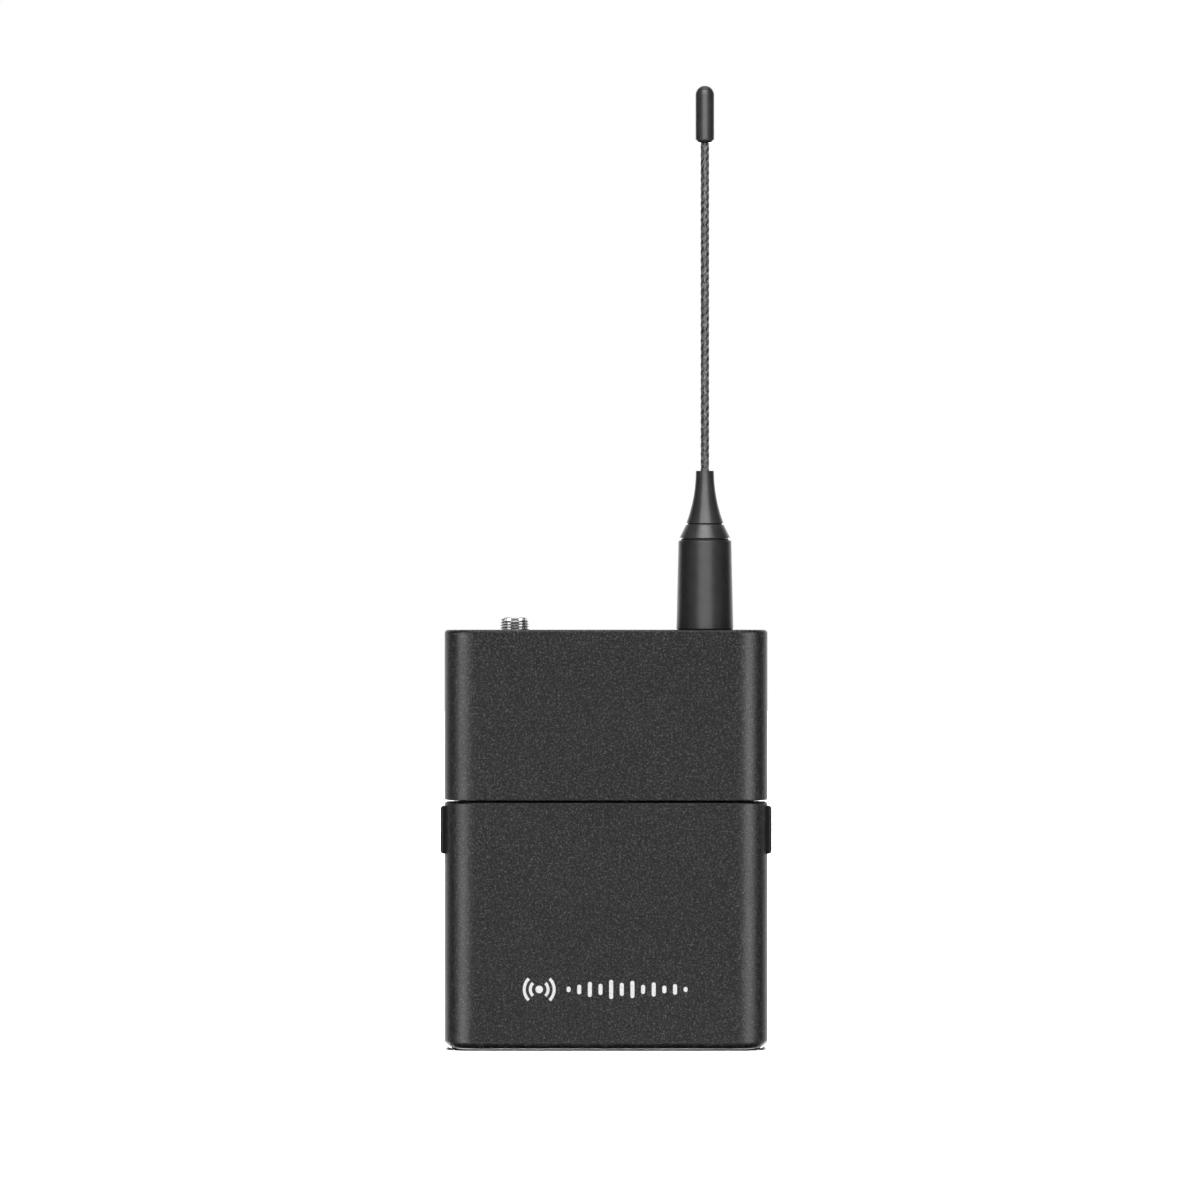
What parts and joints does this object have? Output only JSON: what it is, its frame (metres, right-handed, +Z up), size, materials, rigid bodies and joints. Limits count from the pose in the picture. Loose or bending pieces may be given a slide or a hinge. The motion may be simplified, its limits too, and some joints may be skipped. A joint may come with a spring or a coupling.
{
  "type": "bodypack transmitter",
  "caption": "Slim body-worn radio microphone transmitter with a flexible whip antenna, threaded mini jack, side-latched battery flap and wire belt clip.",
  "frame": {"origin": "centre of the flat underside that the transmitter stands on", "axes": "+X to the right seen from the front, +Y to the back (belt side), +Z up along the antenna"},
  "size_m": [0.0654, 0.0264, 0.191],
  "materials": {
    "speckled_casing": "dark grey moulded housing with a fine light speckle",
    "latch_plastic": "smooth black moulding",
    "chassis_plastic": "plain black moulding",
    "panel_plastic": "fine-textured black panel",
    "button_rubber": "soft grey button",
    "jack_nickel": "bright nickel plate",
    "insulator_plastic": "black glass-filled nylon",
    "contact_metal": "nickel-plated spring sheet",
    "antenna_sleeve": "satin black sleeve",
    "antenna_rubber": "semi-matt black rubber",
    "antenna_core": "matt black insulator",
    "whip_strand": "black sleeve over twisted strand",
    "brass": "plain turned brass",
    "spring_steel": "drawn spring wire",
    "clip_wire": "black-coated spring wire",
    "screw_steel": "black zinc-plated steel",
    "label_film": "blank satin film",
    "circuit_board": "green solder mask",
    "shield_tin": "tin-plated sheet",
    "chip_black": "moulded circuit packages",
    "flex_film": "amber polyimide film",
    "clear_lens": "clear moulded light guide",
    "led_body": "white lamp body",
    "cell_sleeve": "printed-film sleeve without print, bare steel ends"
  },
  "bodies": {
    "pack": {"upper_housing": "speckled_casing", "rear_shell": "speckled_casing", "inner_chassis": "chassis_plastic", "flap_hinge_pins": "spring_steel", "case_screws": "screw_steel", "rear_label": "label_film", "aa_cell_upper": "cell_sleeve", "aa_cell_lower": "cell_sleeve", "positive_contacts": "contact_metal", "negative_contacts": "contact_metal", "control_panel": "panel_plastic", "indicator_window": "clear_lens", "control_board": "circuit_board", "tact_switches": "chip_black", "board_link": "flex_film", "main_board": "circuit_board", "board_screws": "screw_steel", "board_chips": "chip_black", "rf_shield_can": "shield_tin", "audio_shield_can": "shield_tin", "jack_barrel": "jack_nickel", "jack_insulator": "insulator_plastic", "jack_contacts": "contact_metal", "mute_switch": "chip_black", "light_pipes": "clear_lens", "status_leds": "led_body", "antenna_stud": "brass", "antenna_ferrule": "antenna_sleeve", "antenna_core": "antenna_core", "antenna_collar": "antenna_rubber", "antenna_boot": "antenna_rubber", "antenna_whip": "whip_strand", "antenna_tip": "antenna_rubber", "antenna_feed_spring": "contact_metal"},
    "flap": {"battery_flap": "speckled_casing", "latch_retainers": "chassis_plastic", "latch_spring_right": "spring_steel", "latch_spring_left": "spring_steel"},
    "latch_right_slide": {"latch_right": "latch_plastic"},
    "latch_left_slide": {"latch_left": "latch_plastic"},
    "power_key": {"power_button": "button_rubber"},
    "sync_key": {"sync_button": "button_rubber"},
    "mute_key": {"mute_slide": "latch_plastic"},
    "clip": {"belt_clip": "clip_wire"}
  },
  "joints": [
    {"name": "flap_hinge", "type": "hinge", "parent": "pack", "child": "flap", "pos_m": [0, -0.0077, 0.0026], "axis": [1, 0, 0], "range_deg": [0, 90]},
    {"name": "latch_right_press", "type": "slide", "parent": "flap", "child": "latch_right_slide", "axis": [-1, 0, 0], "range_m": [0, 0.001], "stiffness_N_per_m": 400, "springref_m": -0.0008, "deforming": ["latch_spring_right"]},
    {"name": "latch_left_press", "type": "slide", "parent": "flap", "child": "latch_left_slide", "axis": [1, 0, 0], "range_m": [0, 0.001], "stiffness_N_per_m": 400, "springref_m": -0.0008, "deforming": ["latch_spring_left"]},
    {"name": "power_press", "type": "slide", "parent": "pack", "child": "power_key", "axis": [0, 1, 0], "range_m": [0, 0.0004], "stiffness_N_per_m": 1500, "springref_m": -0.0002},
    {"name": "sync_press", "type": "slide", "parent": "pack", "child": "sync_key", "axis": [0, 1, 0], "range_m": [0, 0.0004], "stiffness_N_per_m": 1500, "springref_m": -0.0002},
    {"name": "mute_travel", "type": "slide", "parent": "pack", "child": "mute_key", "axis": [1, 0, 0], "range_m": [0, 0.0032]},
    {"name": "clip_swing", "type": "hinge", "parent": "pack", "child": "clip", "pos_m": [0, 0.0122, 0.072], "axis": [1, 0, 0], "range_deg": [0, 12], "stiffness_Nm_per_rad": 0.5, "springref_deg": -5.73}
  ]
}
